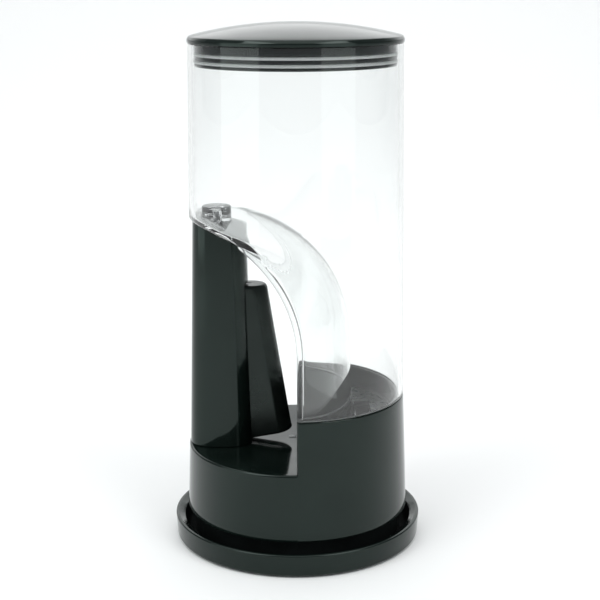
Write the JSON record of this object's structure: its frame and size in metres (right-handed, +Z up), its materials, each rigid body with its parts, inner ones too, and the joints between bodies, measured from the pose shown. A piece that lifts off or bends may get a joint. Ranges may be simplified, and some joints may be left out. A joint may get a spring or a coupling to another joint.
{
  "type": "trigger operated dry food dispenser",
  "caption": "Clear cylindrical canister on a round base with a grip post and squeeze trigger that doses ground coffee or sugar from a metering slide.",
  "frame": {"origin": "table level under the canister's axis, the bottom centre of the saucer's pads", "axes": "+Z up along the canister, -X towards the grip post, Y across the hand notch"},
  "size_m": [0.1398, 0.1398, 0.2883],
  "materials": {
    "black_gloss": "gloss",
    "black_satin": "satin",
    "clear_plastic": "clear",
    "gasket": "satin",
    "steel": "satin",
    "rubber": "matte"
  },
  "bodies": {
    "saucer": {"saucer": "black_gloss", "foot_pad_1": "rubber", "foot_pad_2": "rubber", "foot_pad_3": "rubber", "foot_pad_4": "rubber"},
    "dispenser": {"base_shell": "black_gloss", "bottom_cover": "black_satin", "cover_screw_1": "steel", "cover_screw_2": "steel", "cover_screw_3": "steel", "cover_screw_4": "steel", "hopper_chute": "black_satin", "metering_housing": "black_satin", "grip_post": "black_gloss", "post_screw_1": "steel", "post_screw_2": "steel", "pivot_pin": "steel", "return_spring": "steel", "canister": "clear_plastic", "canister_screw": "steel"},
    "trigger": {"trigger": "black_gloss", "trigger_lever": "black_satin"},
    "slide": {"metering_slide": "black_satin"},
    "lid": {"lid_cap": "black_gloss", "lid_plug": "black_gloss", "lid_gasket_upper": "gasket", "lid_gasket_lower": "gasket"}
  },
  "joints": [
    {"name": "lift_off_saucer", "type": "slide", "parent": "saucer", "child": "dispenser", "axis": [0, 0, 1], "range_m": [0, 0.1]},
    {"name": "lid_lift", "type": "slide", "parent": "dispenser", "child": "lid", "axis": [0, 0, 1], "range_m": [0, 0.06]},
    {"name": "trigger_squeeze", "type": "hinge", "parent": "dispenser", "child": "trigger", "pos_m": [-0.0355, 0, 0.137], "axis": [0, 1, 0], "range_deg": [0, 7], "stiffness_Nm_per_rad": 0.9, "springref_deg": -6.88},
    {"name": "slide_shift", "type": "slide", "parent": "dispenser", "child": "slide", "axis": [-1, 0, 0], "range_m": [0, 0.0121]}
  ],
  "couplings": [
    {"joint": "slide_shift", "follows": "trigger_squeeze", "m_per_rad": 0.09904}
  ]
}
